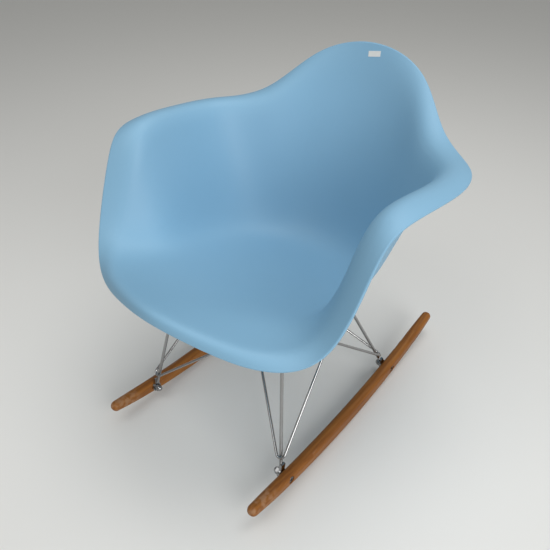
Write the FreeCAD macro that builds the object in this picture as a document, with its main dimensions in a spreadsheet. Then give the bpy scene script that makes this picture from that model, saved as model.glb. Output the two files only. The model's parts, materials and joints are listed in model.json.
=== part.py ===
import FreeCAD, Part
import math
import os
import Sketcher
from FreeCAD import Placement, Rotation, Vector

os.makedirs("parts", exist_ok=True)
doc = FreeCAD.newDocument("rocking_chair")

# Driving sizes, millimetres and degrees. The origin is on the floor, where the
# rockers touch it, at mid-width. +X is the sitter's left, -Y the front, +Z up.
# Heights and reaches are measured before rest_roll turns the chair back.
SIZES = (
    ("shell_width", 631.0, "across the arms, edge to edge"),
    ("front_reach", 301.0, "origin forward to the front edge"),
    ("back_reach", 322.0, "origin back to the top edge of the back"),
    ("front_edge_height", 385.0, "front edge at mid-width above the floor"),
    ("arm_height", 570.0, "edge of the arm beside the elbow"),
    ("back_height", 689.0, "top edge of the back"),
    ("shell_wall", 4.5, "moulded wall"),
    ("pan_height", 309.0, "seat surface at the middle of the pan"),
    ("pan_middle", 5.0, "middle of the pan, behind the origin"),
    ("seat_tilt", 11.3, "backward slope of the pan and of the mounts"),
    ("pan_dish_radius", 900.0, "hollow of the pan"),
    ("pan_half_width", 188.0, "pan middle to the foot of the side wall"),
    ("pan_half_length", 190.0, "pan middle to the foot of the back"),
    ("arm_roll", 48.0, "how far the arm turns outward"),
    ("arm_crown", 26.0, "how far the arm stands above its edge"),
    ("lip_drop", 22.0, "how far the front lip turns down"),
    ("boss_diameter", 30.0, "moulded boss at its free end"),
    ("boss_root_diameter", 34.0, "moulded boss where it meets the shell"),
    ("insert_diameter", 9.0, "threaded brass insert"),
    ("insert_length", 13.0, "threaded brass insert"),
    ("insert_clearance", 0.05, "round the insert"),
    ("insert_floor", 1.5, "room beyond the end of the insert"),
    ("spacer_diameter", 38.0, "rubber spacer between boss and plate"),
    ("spacer_height", 14.0, "rubber spacer"),
    ("spacer_waist", 3.0, "depth of the groove round the spacer"),
    ("plate_diameter", 52.0, "steel plate at the top of the wires"),
    ("plate_thickness", 3.0, "steel plate"),
    ("mount_front_x", 122.6, "front mounts from mid-width"),
    ("mount_front_y", 111.3, "front mounts forward of the origin"),
    ("mount_rear_x", 130.0, "rear mounts from mid-width"),
    ("mount_rear_y", 66.0, "rear mounts behind the origin"),
    ("mount_drop", 42.0, "middle of the pan down to the underside of the rear plates"),
    ("screw_diameter", 6.0, "screws into the shell"),
    ("screw_clearance", 0.3, "round a screw in its holes"),
    ("thread_clearance", 0.05, "round a screw or bolt in its thread"),
    ("screw_grip", 9.5, "length of a screw in its insert"),
    ("screw_head_diameter", 11.0, "button head"),
    ("screw_head_height", 3.3, "button head"),
    ("screw_socket", 4.0, "hexagon across flats"),
    ("screw_washer_diameter", 14.0, "under the screw head"),
    ("screw_washer_thickness", 1.2, "under the screw head"),
    ("stem_wire", 6.5, "wire of the four stems"),
    ("brace_wire", 5.5, "wire of the four braces"),
    ("wire_spread", 15.0, "wire ends from the middle of a plate"),
    ("wire_pass", 6.6, "step aside that lets crossing wires pass"),
    ("brace_bend", 9.0, "centre-line radius of the brace bend"),
    ("brace_rise", 36.0, "brace bend above the bolt"),
    ("weld_gap", 0.15, "between brace and stem beside the weld"),
    ("weld_bead", 7.5, "diameter of the weld bead"),
    ("foot_front_y", 184.0, "front bolts forward of the origin"),
    ("foot_rear_y", 193.0, "rear bolts behind the origin"),
    ("eye_diameter", 20.0, "flat eye at the foot of a stem"),
    ("eye_thickness", 5.0, "flat eye"),
    ("neck_width", 12.0, "flattened wire above the eye"),
    ("neck_length", 22.0, "flattened wire above the bolt"),
    ("rocker_radius", 1330.0, "centre line of the rocker"),
    ("rocker_width", 24.0, "rocker at its middle, seen from above"),
    ("rocker_height", 34.0, "rocker at its middle, seen from the side"),
    ("rocker_spacing", 383.0, "centre line to centre line"),
    ("rocker_length", 681.0, "along the centre line, tips included"),
    ("rocker_set_back", 47.5, "middle of the rocker behind the origin, along its arc"),
    ("rocker_tip_height", 22.0, "rocker at its round tips, seen from the side"),
    ("rocker_tip_width", 20.0, "rocker at its tips, seen from above"),
    ("rocker_tip_reach", 85.0, "length of the tips, where the sides draw in"),
    ("rocker_round", 9.5, "rounded long edges"),
    ("rest_roll", 1.91, "roll back, on the rockers, to where the chair comes to rest"),
    ("bolt_diameter", 8.0, "bolts through the rockers"),
    ("bolt_clearance", 0.2, "round a bolt in its holes"),
    ("bolt_head_diameter", 13.0, "socket head"),
    ("bolt_head_height", 8.0, "socket head"),
    ("bolt_socket", 6.0, "hexagon across flats"),
    ("counterbore_diameter", 15.0, "for the bolt head"),
    ("counterbore_depth", 9.5, "for the bolt head"),
    ("washer_diameter", 16.0, "under the nut"),
    ("washer_thickness", 1.6, "under the nut"),
    ("nut_across_flats", 13.0, "dome nut"),
    ("nut_hexagon", 6.0, "height of the hexagon"),
    ("nut_height", 12.0, "with the dome"),
    ("bolt_in_nut", 7.0, "length of thread taken up"),
    ("nut_end_room", 1.0, "between bolt end and blind end"),
)
sheet = doc.addObject("Spreadsheet::Sheet", "sizes")
for line, (alias, value, note) in enumerate(SIZES, 1):
    sheet.set("A%d" % line, note)
    sheet.set("B%d" % line, str(value))
    sheet.setAlias("B%d" % line, alias)
doc.recompute()


class Size:
    """A length that carries both its number and the formula that binds it to the sheet."""

    def __init__(self, value, formula):
        self.value = value
        self.formula = formula

    def joined(self, mark, other, value):
        text = other.formula if isinstance(other, Size) else "%.9g" % other
        return Size(value, "(%s %s %s)" % (self.formula, mark, text))

    def __add__(self, other):
        return self.joined("+", other, self.value + number(other))

    def __sub__(self, other):
        return self.joined("-", other, self.value - number(other))

    def __mul__(self, other):
        return self.joined("*", other, self.value * number(other))

    def __truediv__(self, other):
        return self.joined("/", other, self.value / number(other))

    def __neg__(self):
        return Size(-self.value, "(0 - %s)" % self.formula)


def number(length):
    return length.value if isinstance(length, Size) else length


size = {alias: float(sheet.get(alias)) for alias, value, note in SIZES}
cell = {alias: Size(size[alias], "sizes." + alias) for alias, value, note in SIZES}
ZERO = 0.0

tilt = math.radians(size["seat_tilt"])
plate_normal = Vector(0, math.sin(tilt), math.cos(tilt))
plate_back = Vector(0, math.cos(tilt), -math.sin(tilt))
outward_x = Vector(1, 0, 0)
SIDES = (("left", 1), ("right", -1))
ENDS = ("front", "rear")
nodes = []


def node(item, label):
    """Names a finished sub-part and puts it on the list of what is written."""
    item.Label = label
    nodes.append(item)
    return item


def bind(item, prop, length):
    """Sets a property, and binds it to the sheet where the length comes from there."""
    setattr(item, prop, number(length))
    if isinstance(length, Size):
        item.setExpression(prop, length.formula)


# Simple solids and their combinations.
def cylinder(name, diameter, height, place=Placement()):
    item = doc.addObject("Part::Cylinder", name)
    bind(item, "Radius", diameter / 2)
    bind(item, "Height", height)
    item.Placement = place
    return item


def hexagon(name, across_flats, height, place=Placement()):
    item = doc.addObject("Part::Prism", name)
    item.Polygon = 6
    bind(item, "Circumradius", across_flats * (1 / math.sqrt(3)))
    bind(item, "Height", height)
    item.Placement = place
    return item


def cut(name, base, tool):
    item = doc.addObject("Part::Cut", name)
    item.Base = base
    item.Tool = tool
    return item


def fuse(name, pieces):
    item = doc.addObject("Part::MultiFuse", name)
    item.Shapes = pieces
    return item


def group(name, pieces):
    item = doc.addObject("Part::Compound", name)
    item.Links = pieces
    return node(item, name)


# Bodies with sketches on their own origin planes.
def new_sketch(body, name, role, rise=0.0):
    plane = [feature for feature in body.Origin.OriginFeatures if feature.Role == role][0]
    sketch = body.newObject("Sketcher::SketchObject", name)
    sketch.AttachmentSupport = [(plane, "")]
    sketch.MapMode = "FlatFace"
    sketch.AttachmentOffset = Placement(Vector(0, 0, rise), Rotation())
    return sketch


def rule(sketch, name, kind, targets, length):
    """Adds a named dimension to a sketch, bound to the sheet."""
    index = sketch.addConstraint(Sketcher.Constraint(kind, *targets, number(length)))
    sketch.renameConstraint(index, name)
    if isinstance(length, Size):
        sketch.setExpression("Constraints." + name, length.formula)


def add_circle(sketch, name, diameter, centre=(0.0, 0.0)):
    middle = Vector(centre[0], centre[1], 0)
    circle = Part.Circle(middle, Vector(0, 0, 1), number(diameter) / 2)
    index = sketch.addGeometry(circle, False)
    rule(sketch, name, "Diameter", [index], diameter)
    if middle.Length:
        rule(sketch, name + "_across", "DistanceX", [-1, 1, index, 3], centre[0])
        rule(sketch, name + "_up", "DistanceY", [-1, 1, index, 3], centre[1])
    else:
        sketch.addConstraint(Sketcher.Constraint("Coincident", index, 3, -1, 1))
    return index


def pad(body, name, sketch, length, both_ways=False):
    feature = body.newObject("PartDesign::Pad", name)
    feature.Profile = sketch
    bind(feature, "Length", length)
    if both_ways:
        feature.SideType = "Symmetric"
    return feature


def ring_body(name, outer, inner, thickness):
    """A flat ring that stands on its own XY plane."""
    body = doc.addObject("PartDesign::Body", name)
    outline = new_sketch(body, name + "_outline", "XY_Plane")
    add_circle(outline, "outer", outer)
    add_circle(outline, "inner", inner)
    pad(body, name + "_pad", outline, thickness)
    return body


def turned_body(name, profile):
    """A solid of revolution about its own Z axis, from (radius, height) corners."""
    body = doc.addObject("PartDesign::Body", name)
    outline = new_sketch(body, name + "_profile", "XZ_Plane")
    corners = [Vector(number(radius), number(height), 0) for radius, height in profile]
    for start, end in zip(corners, corners[1:] + corners[:1]):
        outline.addGeometry(Part.LineSegment(start, end), False)
    count = len(corners)
    for index in range(count):
        after = (index + 1) % count
        outline.addConstraint(Sketcher.Constraint("Coincident", index, 2, after, 1))
    for index, (radius, height) in enumerate(profile):
        for label, kind, axis, length in (
            ("radius", "DistanceX", -2, radius),
            ("height", "DistanceY", -1, height),
        ):
            if number(length):
                rule(outline, "%s_%d" % (label, index), kind, [-1, 1, index, 1], length)
            else:
                outline.addConstraint(Sketcher.Constraint("PointOnObject", index, 1, axis))
    turn = body.newObject("PartDesign::Revolution", name + "_turn")
    turn.Profile = outline
    turn.ReferenceAxis = (outline, ["V_Axis"])
    turn.Angle = 360
    return body


# The four mounts. Each has its origin in the middle of the underside of its plate,
# and its Z axis along the screw.
mounts = {}
rear_mount_height = size["pan_height"] - size["mount_drop"]
for side, sign in SIDES:
    for end, x, y in (
        ("front", size["mount_front_x"], -size["mount_front_y"]),
        ("rear", size["mount_rear_x"], size["mount_rear_y"]),
    ):
        rise = (size["mount_rear_y"] - y) * math.tan(tilt)
        mounts[side, end] = Vector(sign * x, y, rear_mount_height + rise)
mount_turn = Rotation(outward_x, -size["seat_tilt"])


def on_mount(side, end, rise=0.0):
    return Placement(mounts[side, end] + plate_normal * rise, mount_turn)


# Seat shell. Closed guide curves run round the seat, from the middle of the pan
# out to the edge, and a smooth surface is drawn through them. Each station of the
# edge gives its share of the width and of the reach, its level (0 front edge, 1
# arm, 2 top of the back), how far the wall turns outward there, as a share of the
# arm's roll, and how high the turn stands, as a share of the lip or of the crown.
HALF_STATIONS = 10
EDGE = (
    (0.000, -1.000, 0.000, 0.04, "lip_drop", 1.00),
    (0.306, -0.944, -0.070, 0.06, "lip_drop", 1.00),
    (0.609, -0.824, -0.141, 0.20, "lip_drop", 0.90),
    (0.842, -0.635, 0.076, 0.62, "lip_drop", 0.40),
    (0.918, -0.419, 0.730, 0.92, "arm_crown", 0.31),
    (0.965, -0.206, 0.995, 1.00, "arm_crown", 0.92),
    (1.000, 0.186, 0.973, 1.00, "arm_crown", 1.00),
    (0.921, 0.534, 0.951, 0.96, "arm_crown", 0.85),
    (0.653, 0.752, 1.117, 0.75, "arm_crown", 0.15),
    (0.382, 0.938, 1.717, 0.42, "arm_crown", -0.54),
    (0.000, 1.000, 2.000, 0.17, "arm_crown", -0.92),
)


def edge_height(level):
    if level <= 1:
        return size["front_edge_height"] * (1 - level) + size["arm_height"] * level
    return size["arm_height"] * (2 - level) + size["back_height"] * (level - 1)


def pan_surface(x, y):
    """Height of the seat: a tilted plane, slightly dished."""
    back = y - size["pan_middle"]
    dish = (x * x + back * back) / (2 * size["pan_dish_radius"])
    return size["pan_height"] - math.tan(tilt) * back + dish


def pan_ring(share, fullness):
    """Half a guide curve on the pan: an ellipse, or squarer with a lower fullness."""
    points = []
    for station in range(HALF_STATIONS + 1):
        angle = math.radians(-90 + 180 * station / HALF_STATIONS)
        across = abs(math.cos(angle)) ** fullness if 0 < station < HALF_STATIONS else 0.0
        along = math.copysign(abs(math.sin(angle)) ** fullness, math.sin(angle))
        x = share * size["pan_half_width"] * across
        y = size["pan_middle"] + share * size["pan_half_length"] * along
        points.append(Vector(x, y, pan_surface(x, y)))
    return points


def edge_guides():
    """The edge of the shell, and the line inside it where the wall turns outward."""
    edge = []
    turn = []
    for across, along, level, roll, height, rise in EDGE:
        reach = size["back_reach"] if along > 0 else size["front_reach"]
        x = across * size["shell_width"] / 2
        point = Vector(x, along * reach, edge_height(level))
        inward = Vector(-point.x, size["pan_middle"] - point.y, 0).normalize()
        step = inward * (roll * size["arm_roll"]) + Vector(0, 0, rise * size[height])
        edge.append(point)
        turn.append(point + step)
    return edge, turn


def between(first, second, share):
    return [a + (b - a) * share for a, b in zip(first, second)]


def whole_ring(half):
    """Adds the mirrored side to the guide points of one half."""
    return half + [Vector(-p.x, p.y, p.z) for p in half[-2:0:-1]]


def guide_rings():
    """Guide curves from the middle of the pan, over the bowl, to the edge."""
    edge, turn = edge_guides()
    foot = pan_ring(1.0, 0.95)
    halves = (
        pan_ring(0.0, 1.0),
        pan_ring(0.30, 1.0),
        pan_ring(0.60, 0.98),
        foot,
        between(foot, turn, 0.36),
        between(foot, turn, 0.80),
        turn,
        edge,
    )
    return [whole_ring(half) for half in halves]


# Knots of the surface between the pan's middle, at 0, and the edge, at 1, and the
# place on that scale where each guide curve pulls hardest.
SPANS = [0.2, 0.4, 0.6, 0.8]
PULLS = (0.0, 0.2 / 3, 0.2, 0.4, 0.6, 0.8, 2.8 / 3, 1.0)


def poles_through(points):
    """Control points of the closed cubic curve that passes through the points."""
    count = len(points)
    poles = list(points)
    for sweep in range(40):
        poles = [
            (points[i] * 6 - poles[i - 1] - poles[(i + 1) % count]) * 0.25
            for i in range(count)
        ]
    return poles


def ring_surface(rings, inner_knots, degree=3):
    """A surface, closed round the seat, that the guide curves control."""
    net = [poles_through(ring) for ring in rings]
    count = len(net[0])
    poles = [[row[i - 1] for row in net] for i in range(count)]
    around = ([1] * (count + 1), list(range(count + 1)))
    ends = [degree + 1]
    outward = (ends + [1] * len(inner_knots) + ends, [0.0] + inner_knots + [1.0])
    surface = Part.BSplineSurface()
    surface.buildFromPolesMultsKnots(
        poles, around[0], outward[0], around[1], outward[1], True, False, 3, degree
    )
    return surface


def offset_rings(rings, surface, depth):
    """The guide curves moved square to the surface, away from the sitter."""
    faces_sitter = 1 if surface.normal(0, SPANS[0]).z > 0 else -1
    moved = []
    for place, ring in zip(PULLS, rings):
        row = []
        for station, point in enumerate(ring):
            normal = surface.normal(station, place) * faces_sitter if place else plate_normal
            row.append(point - normal * depth)
        moved.append(row)
    return moved


upper_rings = guide_rings()
upper_surface = ring_surface(upper_rings, SPANS)


NOSE_BANDS = 4


def nose_rings(edge, turn, under):
    """Lines along the edge, on a half round from the seat side to the underside."""
    rings = []
    for band in range(NOSE_BANDS + 1):
        angle = math.pi * band / NOSE_BANDS
        across = (1 - math.cos(angle)) / 2
        stand = math.sin(angle) * size["shell_wall"] / 2
        ring = []
        for top, inner, bottom in zip(edge, turn, under):
            ring.append(top + (bottom - top) * across + (top - inner).normalize() * stand)
        rings.append(ring)
    return rings


def shell_skin():
    """The wall: seat side, underside and the rounded nose that joins them."""
    lower_rings = offset_rings(upper_rings, upper_surface, size["shell_wall"])
    faces = [upper_surface.toShape(), ring_surface(lower_rings, SPANS).toShape()]
    nose = nose_rings(upper_rings[-1], upper_rings[-2], lower_rings[-1])
    for pair in zip(nose, nose[1:]):
        faces.append(ring_surface(pair, [], degree=1).toShape())
    skin = Part.Shell(faces)
    skin.sewShape()
    solid = Part.Solid(skin)
    if solid.Volume < 0:
        solid.reverse()
    return solid


# Height of a boss's free end above the underside of its plate.
boss_seat = size["plate_thickness"] + size["spacer_height"]
middle_surface = ring_surface(
    offset_rings(upper_rings, upper_surface, size["shell_wall"] / 2), SPANS
)


def boss(side, end):
    """A tapered boss that stands on the spacer and ends inside the wall."""
    foot = mounts[side, end] + plate_normal * boss_seat
    sight = Part.makeLine(foot, foot + plate_normal * size["pan_height"])
    top = sight.distToShape(middle_surface.toShape())[1][0][0]
    around, out = middle_surface.parameter(top)
    normal = middle_surface.normal(around, out)
    if normal.z < 0:
        normal = normal * -1
    height = (top - foot).Length
    radius = size["boss_diameter"] / 2
    growth = (size["boss_root_diameter"] - size["boss_diameter"]) / 2
    over = size["boss_diameter"] / height
    cone = Part.makeCone(
        radius, radius + growth * (1 + over), height * (1 + over), foot, plate_normal
    )
    reach = size["boss_diameter"] * 3
    block = Part.makeBox(reach * 2, reach * 2, reach)
    block.translate(Vector(-reach, -reach, 0))
    block.Placement = Placement(top, Rotation(Vector(0, 0, 1), normal)) * block.Placement
    return cone.cut(block)


def insert_hole(side, end):
    foot = mounts[side, end] + plate_normal * boss_seat
    radius = size["insert_diameter"] / 2 + size["insert_clearance"]
    depth = size["insert_length"] + size["insert_floor"]
    return Part.makeCylinder(radius, depth, foot, plate_normal)


def seat_shell():
    places = [(side, end) for side, sign in SIDES for end in ENDS]
    solid = shell_skin().fuse([boss(*place) for place in places])
    return solid.cut([insert_hole(*place) for place in places])


shell = doc.addObject("Part::Feature", "seat_shell")
shell.Shape = seat_shell()
node(shell, "seat_shell")

# What lies between the shell and the wires: insert, rubber spacer and plate.
screw_hole = cell["screw_diameter"] + cell["screw_clearance"] * 2
screw_thread = cell["screw_diameter"] + cell["thread_clearance"] * 2
spacer_r = cell["spacer_diameter"] / 2
spacer_h = cell["spacer_height"]
spacer_profile = (
    (screw_hole / 2, ZERO),
    (spacer_r, ZERO),
    (spacer_r, spacer_h * 0.25),
    (spacer_r - cell["spacer_waist"], spacer_h * 0.4),
    (spacer_r - cell["spacer_waist"], spacer_h * 0.6),
    (spacer_r, spacer_h * 0.75),
    (spacer_r, spacer_h),
    (screw_hole / 2, spacer_h),
)
for side, sign in SIDES:
    for end in ENDS:
        tag = "_%s_%s" % (side, end)
        insert = ring_body(
            "threaded_insert" + tag, cell["insert_diameter"], screw_thread, cell["insert_length"]
        )
        insert.Placement = on_mount(side, end, boss_seat)
        node(insert, "threaded_insert" + tag)
        spacer = turned_body("rubber_spacer" + tag, spacer_profile)
        spacer.Placement = on_mount(side, end, size["plate_thickness"])
        node(spacer, "rubber_spacer" + tag)
        plate = ring_body(
            "mount_plate" + tag, cell["plate_diameter"], screw_hole, cell["plate_thickness"]
        )
        plate.Placement = on_mount(side, end)
        node(plate, "mount_plate" + tag)

# Screws from below, with their washers.
screw_stack = cell["screw_washer_thickness"] + cell["plate_thickness"] + cell["spacer_height"]
screw_length = screw_stack + cell["screw_grip"]
screw_r = cell["screw_diameter"] / 2
screw_head_r = cell["screw_head_diameter"] / 2
screw_head_h = cell["screw_head_height"]
screw_profile = (
    (ZERO, -screw_head_h),
    (screw_head_r * 0.6, -screw_head_h),
    (screw_head_r * 0.9, -screw_head_h * 0.55),
    (screw_head_r, ZERO),
    (screw_r, ZERO),
    (screw_r, screw_length - screw_r * 0.3),
    (screw_r * 0.7, screw_length),
    (ZERO, screw_length),
)
screws = []
screw_washers = []
for side, sign in SIDES:
    for end in ENDS:
        tag = "_%s_%s" % (side, end)
        seat = -size["screw_washer_thickness"]
        place = on_mount(side, end, seat)
        blank = turned_body("screw_blank" + tag, screw_profile)
        blank.Placement = place
        key = hexagon(
            "screw_key" + tag,
            cell["screw_socket"],
            screw_head_h * 0.6,
            on_mount(side, end, seat - size["screw_head_height"]),
        )
        screws.append(cut("screw" + tag, blank, key))
        washer = ring_body(
            "screw_washer" + tag,
            cell["screw_washer_diameter"],
            screw_hole,
            cell["screw_washer_thickness"],
        )
        washer.Placement = place
        screw_washers.append(washer)
group("shell_screws", screws)
group("shell_screw_washers", screw_washers)

# Rockers: a bar bent to an arc. It grows narrower towards its round tips, and its
# long edges are rounded. The centre of the arc is above the origin, so the bar
# touches the floor at y = 0.
rocker_half = size["rocker_width"] / 2
bolt_rise = size["rocker_height"] / 2
rocker_inner_x = size["rocker_spacing"] / 2 - rocker_half
feet = {"front": -size["foot_front_y"], "rear": size["foot_rear_y"]}
arc_height = size["rocker_radius"] + bolt_rise


def bolt_height(y):
    """Height of the rocker's centre line above the floor."""
    radius = size["rocker_radius"]
    return arc_height - math.sqrt(radius * radius - y * y)


# Ways round a circle in a side view, in degrees.
UP = 90.0
DOWN = 270.0
UP_AGAIN = 450.0


def arc_in_sketch(sketch, centre, radius, first, last):
    circle = Part.Circle(centre, Vector(0, 0, 1), radius)
    arc = Part.ArcOfCircle(circle, math.radians(first), math.radians(last))
    return sketch.addGeometry(arc, False)


def rocker_side_view(body, name):
    """The bar seen from the side: two arcs that draw together, and the round tips."""
    outline = new_sketch(body, name + "_outline", "YZ_Plane")
    height = size["rocker_height"]
    tip = size["rocker_tip_height"] / 2
    tip_way = (size["rocker_length"] / 2 - tip) / size["rocker_radius"]
    tip_y = math.sin(tip_way) * (arc_height - tip)
    tip_z = arc_height - math.cos(tip_way) * (arc_height - tip)
    rise = height - tip_z
    over_radius = (tip_y * tip_y + rise * rise - tip * tip) / (2 * (tip - rise))
    over_way = math.asin(tip_y / (over_radius + tip))
    low, high = math.degrees(tip_way), math.degrees(over_way)
    centre = Vector(0, arc_height, 0)
    over_centre = Vector(0, height + over_radius, 0)
    rear, front = Vector(tip_y, tip_z, 0), Vector(-tip_y, tip_z, 0)
    under = arc_in_sketch(outline, centre, arc_height, DOWN - low, DOWN + low)
    over = arc_in_sketch(outline, over_centre, over_radius, DOWN - high, DOWN + high)
    rear_tip = arc_in_sketch(outline, rear, tip, DOWN + low, UP_AGAIN + high)
    front_tip = arc_in_sketch(outline, front, tip, UP - high, DOWN - low)
    joints = (
        (under, 2, rear_tip, 1),
        (rear_tip, 2, over, 2),
        (over, 1, front_tip, 1),
        (front_tip, 2, under, 1),
    )
    for joint in joints:
        outline.addConstraint(Sketcher.Constraint("Coincident", *joint))
    outline.addConstraint(Sketcher.Constraint("PointOnObject", under, 3, -2))
    middle = cell["rocker_radius"] + cell["rocker_height"] / 2
    rule(outline, "arc_centre", "DistanceY", [-1, 1, under, 3], middle)
    rule(outline, "underside", "Radius", [under], middle)
    return outline


set_back_angle = math.degrees(size["rocker_set_back"] / size["rocker_radius"])


def tip_trim(body, name, way):
    """What the tips lose on one side, seen from above: a gentle curve to a narrow end."""
    trim = new_sketch(body, name, "XY_Plane")
    drop = (size["rocker_width"] - size["rocker_tip_width"]) / 2
    reach = size["rocker_tip_reach"]
    start = size["rocker_length"] / 2 - reach
    radius = (reach * reach + drop * drop) / (2 * drop)
    outer_x = way * size["rocker_width"]
    beyond = reach + size["rocker_width"]
    sweep = math.degrees(math.asin(beyond / radius))
    for end in (1, -1):
        centre = Vector(way * (rocker_half - radius), end * start, 0)
        straight = 0 if way > 0 else 180
        first, last = sorted((straight, straight + sweep * end * way))
        arc_in_sketch(trim, centre, radius, first, last)
        side_start = Vector(way * rocker_half, end * start, 0)
        drawn_in = radius - math.sqrt(radius * radius - beyond * beyond)
        side_end = Vector(way * (rocker_half - drawn_in), end * (start + beyond), 0)
        outer_end = Vector(outer_x, side_end.y, 0)
        outer_start = Vector(outer_x, side_start.y, 0)
        for line in ((side_end, outer_end), (outer_end, outer_start), (outer_start, side_start)):
            trim.addGeometry(Part.LineSegment(*line), False)
    return trim


def rocker(side, sign):
    """One rocker, drawn about its own middle and then turned back along its arc."""
    name = "rocker_" + side
    body = doc.addObject("PartDesign::Body", name)
    outline = rocker_side_view(body, name)
    pad(body, name + "_bar", outline, cell["rocker_width"], both_ways=True)
    for way, word in ((1, "_right_side"), (-1, "_left_side")):
        bar = body.newObject("PartDesign::Pocket", name + word)
        bar.Profile = tip_trim(body, name + word + "_trim", way)
        bar.Type = "ThroughAll"
        bar.Midplane = True
    doc.recompute()
    long_edges = [
        "Edge%d" % (index + 1)
        for index, edge in enumerate(bar.Shape.Edges)
        if edge.BoundBox.XLength < rocker_half
    ]
    rounding = body.newObject("PartDesign::Fillet", name + "_rounding")
    rounding.Base = (bar, long_edges)
    bind(rounding, "Radius", cell["rocker_round"])
    holes = new_sketch(body, name + "_holes", "YZ_Plane", rocker_half)
    sinks = new_sketch(body, name + "_sinks", "YZ_Plane", sign * rocker_half)
    for end, y in feet.items():
        way = math.asin(y / size["rocker_radius"]) - math.radians(set_back_angle)
        along = math.sin(way) * size["rocker_radius"]
        up = arc_height - math.cos(way) * size["rocker_radius"]
        add_circle(holes, end, cell["bolt_diameter"] + cell["bolt_clearance"] * 2, (along, up))
        add_circle(sinks, end, cell["counterbore_diameter"], (along, up))
    drilled = body.newObject("PartDesign::Pocket", name + "_drilled")
    drilled.Profile = holes
    drilled.Type = "ThroughAll"
    sunk = body.newObject("PartDesign::Pocket", name + "_sunk")
    sunk.Profile = sinks
    sunk.Reversed = sign < 0
    bind(sunk, "Length", cell["counterbore_depth"])
    body.Tip = sunk
    arc_centre = Vector(0, 0, arc_height)
    turn_back = Placement(Vector(), Rotation(outward_x, set_back_angle), arc_centre)
    aside = Placement(Vector(sign * size["rocker_spacing"] / 2, 0, 0), Rotation())
    body.Placement = aside * turn_back
    return node(body, name)


for side, sign in SIDES:
    rocker(side, sign)

# Bolts, washers and dome nuts. Each bolt's own Z axis points inward, and starts at
# the floor of the counterbore.
bolt_r = cell["bolt_diameter"] / 2
head_r = cell["bolt_head_diameter"] / 2
head_h = cell["bolt_head_height"]
clamped = cell["rocker_width"] - cell["counterbore_depth"] + cell["eye_thickness"]
nut_seat = clamped + cell["washer_thickness"]
bolt_length = nut_seat + cell["bolt_in_nut"]
bolt_profile = (
    (ZERO, -head_h),
    (head_r - 0.6, -head_h),
    (head_r, -head_h + 0.6),
    (head_r, ZERO),
    (bolt_r, ZERO),
    (bolt_r, bolt_length - 1.0),
    (bolt_r - 0.8, bolt_length),
    (ZERO, bolt_length),
)


def on_bolt(sign, end, along):
    """A place on a bolt's axis, counted inward from the floor of the counterbore."""
    y = feet[end]
    outer = size["rocker_spacing"] / 2 + rocker_half - size["counterbore_depth"]
    base = Vector(sign * (outer - along), y, bolt_height(y))
    return Placement(base, Rotation(Vector(0, 1, 0), -90 * sign))


def dome_nut(tag, sign, end):
    """A hexagon with a round cap and a blind thread."""
    seat = number(nut_seat)
    base = hexagon(
        "nut_hexagon" + tag, cell["nut_across_flats"], cell["nut_hexagon"], on_bolt(sign, end, seat)
    )
    cap_radius = cell["nut_across_flats"] * 0.48
    cap = doc.addObject("Part::Sphere", "nut_cap" + tag)
    bind(cap, "Radius", cap_radius)
    cap.Angle1 = 0
    cap.Placement = on_bolt(sign, end, seat + size["nut_height"] - number(cap_radius))
    thread = cylinder(
        "nut_thread" + tag,
        cell["bolt_diameter"] + cell["thread_clearance"] * 2,
        cell["bolt_in_nut"] + cell["nut_end_room"],
        on_bolt(sign, end, seat),
    )
    return cut("dome_nut" + tag, fuse("nut_body" + tag, [base, cap]), thread)


bolts = []
washers = []
nuts = []
for side, sign in SIDES:
    for end in ENDS:
        tag = "_%s_%s" % (side, end)
        blank = turned_body("bolt_blank" + tag, bolt_profile)
        blank.Placement = on_bolt(sign, end, 0)
        key = hexagon(
            "bolt_key" + tag,
            cell["bolt_socket"],
            head_h * 0.55,
            on_bolt(sign, end, -size["bolt_head_height"]),
        )
        bolts.append(cut("bolt" + tag, blank, key))
        washer = ring_body(
            "washer" + tag,
            cell["washer_diameter"],
            cell["bolt_diameter"] + cell["bolt_clearance"] * 2,
            cell["washer_thickness"],
        )
        washer.Placement = on_bolt(sign, end, number(clamped))
        washers.append(washer)
        nuts.append(dome_nut(tag, sign, end))
group("rocker_bolts", bolts)
group("rocker_washers", washers)
group("dome_nuts", nuts)

# Wires. Their upper ends are cut flush with the underside of the plates by one
# block, because the four plates lie in one plane.
block = doc.addObject("Part::Box", "plate_plane")
block.Length = size["shell_width"] * 2
block.Width = size["shell_width"] * 2
block.Height = size["rocker_height"]
block_corner = Vector(-size["shell_width"], -size["shell_width"], 0)
block.Placement = Placement(
    Vector(0, size["mount_rear_y"], rear_mount_height), mount_turn
) * Placement(block_corner, Rotation())


def wire_end(side, end, angle, step=0.0):
    """Where a wire meets a plate. The angle runs from outward, 0, to backward, 90."""
    sign = dict(SIDES)[side]
    way = math.radians(angle)
    across = outward_x * (sign * math.cos(way) * size["wire_spread"])
    back = plate_back * (math.sin(way) * size["wire_spread"] + step)
    return mounts[side, end] + across + back


def stem_line(side, sign, end):
    """Foot and top of a stem's centre line."""
    top = wire_end(side, end, -60 if end == "front" else 100)
    y = feet[end]
    x = sign * (rocker_inner_x - size["stem_wire"] / 2)
    bolt = Vector(x, y, bolt_height(y))
    return bolt, top


def upright(direction):
    return Rotation(Vector(0, 0, 1), direction)


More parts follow.
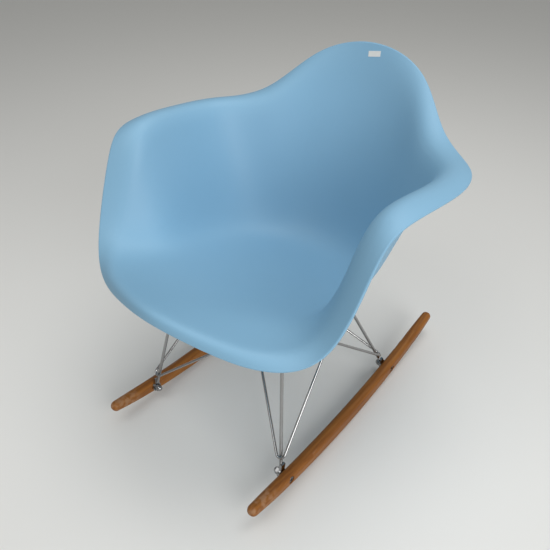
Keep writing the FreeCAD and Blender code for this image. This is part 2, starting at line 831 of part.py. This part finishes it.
def stem(side, sign, end):
    """A straight wire whose foot is flattened to an eye that the bolt goes through."""
    tag = "_%s_%s" % (side, end)
    bolt, top = stem_line(side, sign, end)
    run = (top - bolt).normalize()
    neck_share = (size["neck_length"] - size["eye_diameter"] / 2) / (top - bolt).Length
    start = bolt + (top - bolt) * neck_share
    wire = cylinder("stem_wire" + tag, cell["stem_wire"], 1.0, Placement(start, upright(run)))
    wire.Height = (top - start).Length + size["stem_wire"]
    inner_face = Vector(sign * rocker_inner_x, bolt.y, bolt.z)
    inward = Rotation(Vector(0, 1, 0), -90 * sign)
    eye = cylinder(
        "stem_eye" + tag, cell["eye_diameter"], cell["eye_thickness"], Placement(inner_face, inward)
    )
    flat = Vector(0, run.y, run.z).normalize()
    neck = doc.addObject("Part::Box", "stem_neck" + tag)
    bind(neck, "Length", cell["eye_thickness"])
    bind(neck, "Width", cell["neck_width"])
    bind(neck, "Height", cell["neck_length"])
    lean = Rotation(Vector(0, 0, 1), flat)
    corner_x = 0 if sign < 0 else -size["eye_thickness"]
    corner = lean.multVec(Vector(corner_x, -size["neck_width"] / 2, 0))
    neck.Placement = Placement(inner_face + corner, lean)
    hole = cylinder(
        "stem_hole" + tag,
        cell["bolt_diameter"] + cell["bolt_clearance"] * 2,
        cell["eye_thickness"] * 3,
        Placement(inner_face + Vector(sign * size["eye_thickness"], 0, 0), inward),
    )
    solid = fuse("stem_solid" + tag, [eye, neck, wire])
    trimmed = cut("stem_trimmed" + tag, solid, block)
    return node(cut("stem" + tag, trimmed, hole), "stem" + tag)


def brace(side, sign, end, stem_item):
    """A wire bent to a V: from a plate down to the stem, round it, and up to the far side."""
    tag = "_%s_%s" % (side, end)
    other = "right" if side == "left" else "left"
    step = -size["wire_pass"] * sign
    if end == "front":
        near = wire_end(side, "rear", -50)
        far = wire_end(other, "rear", -141, step)
    else:
        near = wire_end(side, "front", 110)
        far = wire_end(other, "rear", 158, step)
    bolt, top = stem_line(side, sign, end)
    run = (top - bolt).normalize()
    weld = bolt + run * (size["brace_rise"] / run.z)
    middle = ((near - weld).normalize() + (far - weld).normalize()).normalize()
    outward = (run * middle.dot(run) - middle).normalize()
    radius = size["brace_bend"]
    touch = (size["stem_wire"] + size["brace_wire"]) / 2 + size["weld_gap"]
    centre = weld + outward * touch + middle * radius

    # The arms are the tangents from the two plates to the circle of the bend.
    towards = (centre - near).normalize()
    inside = far - centre
    inside = (inside - towards * inside.dot(towards)).normalize()
    swing = math.asin(radius / (centre - near).Length)
    along = towards * math.cos(swing) - inside * math.sin(swing)
    within = towards * math.sin(swing) + inside * math.cos(swing)
    near_arm = math.sqrt((centre - near).Length ** 2 - radius * radius)
    reach = far - centre
    far_arm = math.sqrt(reach.Length ** 2 - radius * radius)
    heading = math.atan2(reach.dot(within), reach.dot(along)) + math.asin(radius / reach.Length)

    spare = size["brace_wire"]
    body = doc.addObject("PartDesign::Body", "brace_body" + tag)
    path = new_sketch(body, "brace_path" + tag, "XY_Plane")
    hub = Vector(near_arm, radius, 0)
    last = hub + Vector(math.sin(heading), -math.cos(heading), 0) * radius
    finish = last + Vector(math.cos(heading), math.sin(heading), 0) * (far_arm + spare)
    path.addGeometry(Part.LineSegment(Vector(-spare, 0, 0), Vector(near_arm, 0, 0)), False)
    arc_in_sketch(path, hub, radius, -90, math.degrees(heading) - 90)
    path.addGeometry(Part.LineSegment(last, finish), False)
    path.addConstraint(Sketcher.Constraint("Coincident", 0, 2, 1, 1))
    path.addConstraint(Sketcher.Constraint("Coincident", 1, 2, 2, 1))
    rule(path, "bend", "Radius", [1], cell["brace_bend"])
    section = new_sketch(body, "brace_section" + tag, "YZ_Plane", -spare)
    add_circle(section, "wire", cell["brace_wire"])
    pipe = body.newObject("PartDesign::AdditivePipe", "brace_pipe" + tag)
    pipe.Profile = section
    pipe.Spine = path
    body.Placement = Placement(near, Rotation(along, within, along.cross(within), "XYZ"))

    bead = doc.addObject("Part::Sphere", "brace_bead" + tag)
    bind(bead, "Radius", cell["weld_bead"] / 2)
    bead.Placement = Placement(weld + outward * (size["stem_wire"] / 2), Rotation())
    welded = fuse("brace_welded" + tag, [body, bead])
    trimmed = cut("brace_trimmed" + tag, welded, block)
    return node(cut("brace" + tag, trimmed, stem_item), "brace" + tag)


for side, sign in SIDES:
    for end in ENDS:
        brace(side, sign, end, stem(side, sign, end))

# Every object must have been made, and every sub-part must be a valid solid.
doc.recompute()
for item in doc.Objects:
    if "Invalid" in item.State or "Error" in item.State:
        raise RuntimeError("%s was not made: %s" % (item.Label, item.State))
for item in nodes:
    shape = item.Shape
    if shape.isNull() or not shape.isValid() or not shape.Solids:
        raise RuntimeError("%s has no valid solid" % item.Label)

# The chair is drawn with its rockers balanced on the middle of their arc. Its weight
# is behind that point, so it rolls back about the centre of the arc until it rests.
arc_centre = Vector(0, 0, arc_height)
roll = Placement(Vector(), Rotation(outward_x, -size["rest_roll"]), arc_centre)
for item in nodes:
    shape = item.Shape.copy()
    shape.Placement = roll * shape.Placement
    shape.exportStep("parts/%s.step" % item.Label)
    print("%-32s %d solids, %.1f cm3" % (item.Label, len(shape.Solids), shape.Volume / 1000))
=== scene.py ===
import json
import math

import bmesh
import bpy
from mathutils import Euler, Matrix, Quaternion, Vector
from mathutils.bvhtree import BVHTree


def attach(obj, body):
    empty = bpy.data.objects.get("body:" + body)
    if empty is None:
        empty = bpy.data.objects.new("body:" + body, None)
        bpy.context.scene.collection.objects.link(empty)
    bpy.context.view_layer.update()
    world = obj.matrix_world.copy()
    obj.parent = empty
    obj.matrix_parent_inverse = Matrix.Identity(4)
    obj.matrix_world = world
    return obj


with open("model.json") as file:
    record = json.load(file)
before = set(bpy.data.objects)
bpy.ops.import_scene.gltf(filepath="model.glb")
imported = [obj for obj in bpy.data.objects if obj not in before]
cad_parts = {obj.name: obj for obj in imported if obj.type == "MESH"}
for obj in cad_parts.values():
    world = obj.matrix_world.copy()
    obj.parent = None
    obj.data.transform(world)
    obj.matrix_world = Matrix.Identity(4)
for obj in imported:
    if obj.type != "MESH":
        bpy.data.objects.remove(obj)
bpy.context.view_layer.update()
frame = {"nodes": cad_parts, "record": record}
nodes = frame["nodes"]

# One millimetre. The scene is in metres.
MM = 0.001

# Sockets of a Mix node for colours, by number because others share their names.
MIX_SHARE = 0
MIX_FIRST = 6
MIX_SECOND = 7
MIX_RESULT = 2


class Value:
    """The output of a material node. Arithmetic on it adds Math nodes."""

    def __init__(self, finish, socket):
        self.finish = finish
        self.socket = socket

    def math(self, operation, *terms):
        return self.finish.node("ShaderNodeMath", {"operation": operation}, terms)

    def __add__(self, other):
        return self.math("ADD", self, other)

    def __radd__(self, other):
        return self.math("ADD", other, self)

    def __mul__(self, other):
        return self.math("MULTIPLY", self, other)

    def __rmul__(self, other):
        return self.math("MULTIPLY", other, self)


class Finish:
    """A material: a Principled shader, and the nodes that feed it.

    The plain colour and roughness stay under the nodes, for exports that leave nodes out.
    """

    def __init__(self, name, base_color, roughness, metallic=0.0, gloss=0.5):
        self.material = bpy.data.materials.new(name)
        self.material.use_nodes = True
        self.tree = self.material.node_tree
        self.shader = self.tree.nodes["Principled BSDF"]
        self.set("Base Color", base_color)
        self.set("Roughness", roughness)
        self.set("Metallic", metallic)
        self.set("Specular IOR Level", gloss)

    def feed(self, socket, value):
        """Links a node's output to a socket, or gives the socket a number or a colour."""
        if isinstance(value, Value):
            self.tree.links.new(value.socket, socket)
        elif socket.type == "RGBA":
            socket.default_value = (*value, 1.0)
        else:
            socket.default_value = value

    def set(self, socket, value):
        """Feeds one of the shader's own sockets."""
        self.feed(self.shader.inputs[socket], value)

    def node(self, kind, settings=(), inputs=(), output=0):
        """Adds a node. Its settings come first, and a ramp's stops are among them.

        Inputs go by name or number in a dict, or by place in a tuple.
        """
        made = self.tree.nodes.new(kind)
        settings = dict(settings)
        stops = settings.pop("stops", ())
        for name, value in settings.items():
            setattr(made, name, value)
        for index, (place, color) in enumerate(stops):
            elements = made.color_ramp.elements
            element = elements[index] if index < len(elements) else elements.new(place)
            element.position = place
            element.color = (*color, 1.0)
        pairs = inputs.items() if isinstance(inputs, dict) else enumerate(inputs)
        for key, value in pairs:
            self.feed(made.inputs[key], value)
        return Value(self, made.outputs[output])

    def place(self, drawn=(1.0, 1.0, 1.0)):
        """The place on the object, in metres. Small numbers in drawn stretch a pattern."""
        spot = self.node("ShaderNodeTexCoord", output="Object")
        return self.node("ShaderNodeMapping", inputs={"Vector": spot, "Scale": drawn})

    def along(self, axis):
        """The place along one axis of the object, in metres."""
        return self.node("ShaderNodeSeparateXYZ", inputs=(self.place(),), output=axis)

    def noise(self, spot, scale, detail=2.0, distortion=0.0):
        """Soft patches from 0 to 1."""
        inputs = {"Vector": spot, "Scale": scale, "Detail": detail, "Distortion": distortion}
        return self.node("ShaderNodeTexNoise", inputs=inputs)

    def rings(self, spot, scale, detail, detail_scale, distortion):
        """Growth rings round the y axis, from 0 to 1."""
        settings = {"wave_type": "RINGS", "rings_direction": "Y"}
        inputs = {
            "Vector": spot,
            "Scale": scale,
            "Detail": detail,
            "Detail Scale": detail_scale,
            "Distortion": distortion,
        }
        return self.node("ShaderNodeTexWave", settings, inputs, output="Fac")

    def share(self, value, empty, full):
        """How far a value has come from one number to another, from 0 to 1."""
        inputs = {"Value": value, "From Min": empty, "From Max": full}
        return self.node("ShaderNodeMapRange", {"interpolation_type": "SMOOTHSTEP"}, inputs)

    def ramp(self, value, stops):
        """Runs from colour to colour. Each stop is a place from 0 to 1 and its colour."""
        return self.node("ShaderNodeValToRGB", {"stops": stops}, (value,))

    def blend(self, share, first, second):
        """Mixes two colours, from all of the first at 0 to all of the second at 1."""
        inputs = {MIX_SHARE: share, MIX_FIRST: first, MIX_SECOND: second}
        return self.node("ShaderNodeMix", {"data_type": "RGBA"}, inputs, output=MIX_RESULT)

    def bump(self, height, strength, distance):
        """Roughens the surface in fine relief, without changing the shape."""
        inputs = {"Height": height, "Strength": strength, "Distance": distance}
        self.set("Normal", self.node("ShaderNodeBump", inputs=inputs))


# The colours of the finishes.
SHELL_BLUE = (0.205, 0.400, 0.565)
SHELL_BLUE_WORN = (0.225, 0.418, 0.580)
WOOD_DARK = (0.150, 0.047, 0.0075)
WOOD_MIDDLE = (0.248, 0.089, 0.0145)
WOOD_PALE = (0.340, 0.138, 0.027)
WOOD_SCUFFED = (0.340, 0.190, 0.100)
# The two chrome colours are darker than chromium's own, as painted shade that stands in for
# dark surroundings reflected in the wires.
CHROME_CLEAN_PAINTED_DARK = (0.370, 0.370, 0.376)
CHROME_DULL_PAINTED_DARK = (0.315, 0.314, 0.312)
# The two zinc colours are set dark as painted shade, which stands in for the shade on the
# bolt heads in their counterbores.
ZINC_PAINTED_SHADE_LIGHTER = (0.240, 0.240, 0.243)
ZINC_PAINTED_SHADE_DARKER = (0.165, 0.165, 0.172)
RUBBER_BLACK = (0.018, 0.018, 0.019)
RUBBER_DUSTY = (0.050, 0.048, 0.045)
BRASS_TURNED = (0.700, 0.500, 0.220)
BRASS_TARNISHED = (0.480, 0.320, 0.130)
PAPER_WHITE = (0.710, 0.720, 0.710)
PAPER_AGED = (0.670, 0.672, 0.640)

# The patterns of the wood are drawn out along the rocker, which lies along the y axis.
FIBRES_DRAWN = (1.0, 0.035, 1.0)
FIGURE_DRAWN = (1.0, 0.10, 1.0)
RINGS_DRAWN = (1.0, 0.06, 1.0)

# Where along the y axis the scuffs of the front tips start, and where they are strongest,
# in metres. The front of the chair is on the negative side.
SCUFFS_START = -0.262
SCUFFS_FULL = -0.290


def moulded_plastic():
    """Satin polypropylene with a fine moulded grain, a little cloudy from use."""
    finish = Finish("shell_plastic", SHELL_BLUE, roughness=0.5, gloss=0.35)
    spot = finish.place()
    cloud = finish.noise(spot, scale=6.0, detail=3.0)
    handled = finish.noise(spot, scale=14.0, detail=4.0)
    grain = finish.noise(spot, scale=1400.0)
    finish.set("Base Color", finish.blend(cloud, SHELL_BLUE, SHELL_BLUE_WORN))
    finish.set("Roughness", 0.44 + handled * 0.14)
    finish.bump(grain, strength=0.16, distance=0.3 * MM)
    return finish.material


def rocker_wood():
    """Oiled hardwood. The grain runs along the rocker, and the front tips are scuffed."""
    finish = Finish("rocker_wood", WOOD_MIDDLE, roughness=0.45, gloss=0.3)
    fibres = finish.noise(finish.place(FIBRES_DRAWN), scale=420.0, detail=5.0, distortion=0.3)
    figure = finish.noise(finish.place(FIGURE_DRAWN), scale=34.0, detail=4.0, distortion=1.4)
    rings = finish.rings(
        finish.place(RINGS_DRAWN),
        scale=34.0,
        detail=3.0,
        detail_scale=1.4,
        distortion=6.0,
    )
    # The shares of the three patterns add up to 1.
    tone = figure * 0.55 + rings * 0.15 + fibres * 0.30
    wood = finish.ramp(tone, ((0.25, WOOD_DARK), (0.50, WOOD_MIDDLE), (0.75, WOOD_PALE)))
    near_tip = finish.share(finish.along("Y"), empty=SCUFFS_START, full=SCUFFS_FULL)
    blotches = finish.noise(finish.place(), scale=90.0, detail=4.0)
    scuffs = near_tip * finish.share(blotches, empty=0.40, full=0.62)
    finish.set("Base Color", finish.blend(scuffs * 0.7, wood, WOOD_SCUFFED))
    finish.set("Roughness", 0.40 + fibres * 0.14 + scuffs * 0.2)
    finish.bump(fibres, strength=0.15, distance=0.4 * MM)
    return finish.material


def chrome():
    """Chrome plating, dulled a little by handling and time, and darker all over as a painted
    reflection of dark surroundings.
    """
    finish = Finish("wire_chrome", CHROME_CLEAN_PAINTED_DARK, roughness=0.16, metallic=1.0)
    haze = finish.noise(finish.place(), scale=60.0, detail=3.0)
    finish.set("Base Color", finish.blend(haze, CHROME_CLEAN_PAINTED_DARK, CHROME_DULL_PAINTED_DARK))
    finish.set("Roughness", 0.10 + haze * 0.14)
    return finish.material


def zinc():
    """Zinc plating on the fasteners, darker in patches, and dark all over as painted shade,
    for the shade in the counterbores of the bolt heads.
    """
    finish = Finish("fastener_steel", ZINC_PAINTED_SHADE_LIGHTER, roughness=0.38, metallic=1.0)
    mottle = finish.noise(finish.place(), scale=300.0, detail=3.0)
    finish.set("Base Color", finish.blend(mottle, ZINC_PAINTED_SHADE_LIGHTER, ZINC_PAINTED_SHADE_DARKER))
    finish.set("Roughness", 0.26 + mottle * 0.16)
    return finish.material


def rubber():
    """Black moulded rubber, a little dusty."""
    finish = Finish("spacer_rubber", RUBBER_BLACK, roughness=0.72)
    dust = finish.noise(finish.place(), scale=120.0, detail=4.0)
    grain = finish.noise(finish.place(), scale=900.0)
    finish.set("Base Color", finish.blend(dust * 0.6, RUBBER_BLACK, RUBBER_DUSTY))
    finish.set("Roughness", 0.62 + dust * 0.2)
    finish.bump(grain, strength=0.20, distance=0.3 * MM)
    return finish.material


def brass():
    """Plain turned brass, tarnished in patches."""
    finish = Finish("insert_brass", BRASS_TURNED, roughness=0.30, metallic=1.0)
    tarnish = finish.noise(finish.place(), scale=500.0)
    finish.set("Base Color", finish.blend(tarnish, BRASS_TURNED, BRASS_TARNISHED))
    finish.set("Roughness", 0.24 + tarnish * 0.12)
    return finish.material


def sticker_paper():
    """A blank white paper sticker, yellowed a little with age."""
    finish = Finish("sticker_paper", PAPER_WHITE, roughness=0.55)
    age = finish.noise(finish.place(), scale=160.0, detail=3.0)
    pulp = finish.noise(finish.place(), scale=700.0, detail=3.0)
    finish.set("Base Color", finish.blend(age, PAPER_WHITE, PAPER_AGED))
    finish.bump(pulp, strength=0.15, distance=0.2 * MM)
    return finish.material


FINISHES = {
    "shell_plastic": moulded_plastic(),
    "rocker_wood": rocker_wood(),
    "wire_chrome": chrome(),
    "fastener_steel": zinc(),
    "spacer_rubber": rubber(),
    "insert_brass": brass(),
}

# Each node of the frame gets the finish of its slot.
for part in frame["record"]["subparts"]:
    materials = nodes[part["node"]].data.materials
    materials.clear()
    materials.append(FINISHES[part["material_slot"]])


# A blank sticker on the inside of the back, near its top edge.
STICKER_PLACE = Vector((8.6, 293.6, 661.8)) * MM
STICKER_WIDTH = 26.5 * MM
STICKER_HEIGHT = 10.5 * MM
STICKER_THICKNESS = 0.25 * MM
STICKER_TURN = math.radians(8.0)

# The sticker starts as a square one unit wide, in columns and rows of cells. Its corners
# are cut round by a share of that unit.
HALF_UNIT = 0.5
STICKER_COLUMNS = 14
STICKER_ROWS = 6
STICKER_CORNER = 0.04


def shell_surface():
    """The faces of the seat shell, to lay something on."""
    mesh = nodes["seat_shell"].data
    corners = [vertex.co for vertex in mesh.vertices]
    return BVHTree.FromPolygons(corners, [face.vertices for face in mesh.polygons])


def rounded_square():
    """A flat square of cells with round corners."""
    square = bmesh.new()
    bmesh.ops.create_grid(
        square,
        x_segments=STICKER_COLUMNS,
        y_segments=STICKER_ROWS,
        size=HALF_UNIT,
    )
    corners = [corner for corner in square.verts if len(corner.link_edges) == 2]
    bmesh.ops.bevel(
        square,
        geom=corners,
        offset=STICKER_CORNER,
        segments=3,
        profile=0.5,
        affect="VERTICES",
        material=-1,
    )
    return square


def finish_piece(name, piece, material):
    """Turns a bmesh into a piece of the object that rides with the frame."""
    mesh = bpy.data.meshes.new(name)
    piece.to_mesh(mesh)
    piece.free()
    mesh.materials.append(material)
    item = bpy.data.objects.new(name, mesh)
    bpy.context.scene.collection.objects.link(item)
    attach(item, "root")


def sticker():
    """A thin sheet with round corners, laid on the curve of the shell."""
    surface = shell_surface()
    spot, outward, _, _ = surface.find_nearest(STICKER_PLACE)
    # The inside of the back faces forward, which is the negative side.
    if outward.y > 0:
        outward = -outward
    across = Vector((1, 0, 0))
    across = (across - outward * across.dot(outward)).normalized()
    across.rotate(Quaternion(outward, STICKER_TURN))
    upward = across.cross(outward)
    if upward.z < 0:
        upward = -upward
    sheet = rounded_square()
    for vertex in sheet.verts:
        side = vertex.co.x * STICKER_WIDTH
        rise = vertex.co.y * STICKER_HEIGHT
        laid, _, _, _ = surface.find_nearest(spot + across * side + upward * rise)
        vertex.co = laid + outward * STICKER_THICKNESS
    bmesh.ops.recalc_face_normals(sheet, faces=sheet.faces)
    facing = sum((face.normal for face in sheet.faces), Vector())
    if facing.dot(outward) < 0:
        bmesh.ops.reverse_faces(sheet, faces=sheet.faces)
    bmesh.ops.solidify(sheet, geom=sheet.faces, thickness=STICKER_THICKNESS)
    finish_piece("sticker", sheet, sticker_paper())


sticker()


# The room: a pale floor, soft light, and the camera at the photograph's view.
ROOM_PALE = (0.80, 0.80, 0.78)
SKY_STRENGTH = 0.40

# The camera was fitted to the photograph. Its angles are in degrees, and its lens and the
# width of its sensor in millimetres.
CAMERA_PLACE = Vector((585.5, -719.4, 985.2)) * MM
CAMERA_ANGLES = (53.178, 1.201, 38.972)
CAMERA_LENS = 37.115
CAMERA_SENSOR = 36.0

# How far the floor reaches to each side of the chair, in metres.
FLOOR_REACH = 30.0

# The lamps are squares of this size, in metres, and face this place in the chair.
LAMP_SIZE = 1.6
LAMPS_FACE = Vector((0, 0, 0.4))


def put_in_room(name, data, place=(0, 0, 0), turn=(0, 0, 0)):
    """Adds a thing that is no part of the chair."""
    item = bpy.data.objects.new(name, data)
    item.location = place
    item.rotation_euler = turn
    bpy.context.scene.collection.objects.link(item)
    return item


def floor():
    """A pale floor that takes the shadow."""
    sheet = bmesh.new()
    bmesh.ops.create_grid(sheet, x_segments=1, y_segments=1, size=FLOOR_REACH)
    mesh = bpy.data.meshes.new("floor")
    sheet.to_mesh(mesh)
    sheet.free()
    mesh.materials.append(Finish("floor_pale", ROOM_PALE, roughness=0.7).material)
    put_in_room("floor", mesh)


def sky():
    """The same pale light from all round."""
    world = bpy.data.worlds.new("room")
    world.use_nodes = True
    background = world.node_tree.nodes["Background"]
    background.inputs["Color"].default_value = (*ROOM_PALE, 1.0)
    background.inputs["Strength"].default_value = SKY_STRENGTH
    bpy.context.scene.world = world


def lamp(name, place, power, spread=180.0):
    """A soft light that faces the chair.

    The power is in watts. The spread is in degrees, and a narrow one keeps the light of a
    low lamp off the floor near it.
    """
    light = bpy.data.lights.new(name, "AREA")
    light.size = LAMP_SIZE
    light.energy = power
    light.spread = math.radians(spread)
    facing = (LAMPS_FACE - Vector(place)).to_track_quat("-Z", "Y")
    put_in_room(name, light, place, facing.to_euler())


def camera():
    """The camera, where the photograph was taken from."""
    view = bpy.data.cameras.new("camera")
    view.lens = CAMERA_LENS
    view.sensor_width = CAMERA_SENSOR
    turn = Euler([math.radians(angle) for angle in CAMERA_ANGLES])
    bpy.context.scene.camera = put_in_room("camera", view, CAMERA_PLACE, turn)


floor()
sky()
lamp("overhead", place=(0.4, 0.5, 2.9), power=26.0)
lamp("key", place=(2.2, -0.9, 1.3), power=9.2, spread=80.0)
lamp("fill", place=(-0.2, -1.5, 2.7), power=16.0)
camera()
bpy.context.scene.view_settings.view_transform = "Standard"
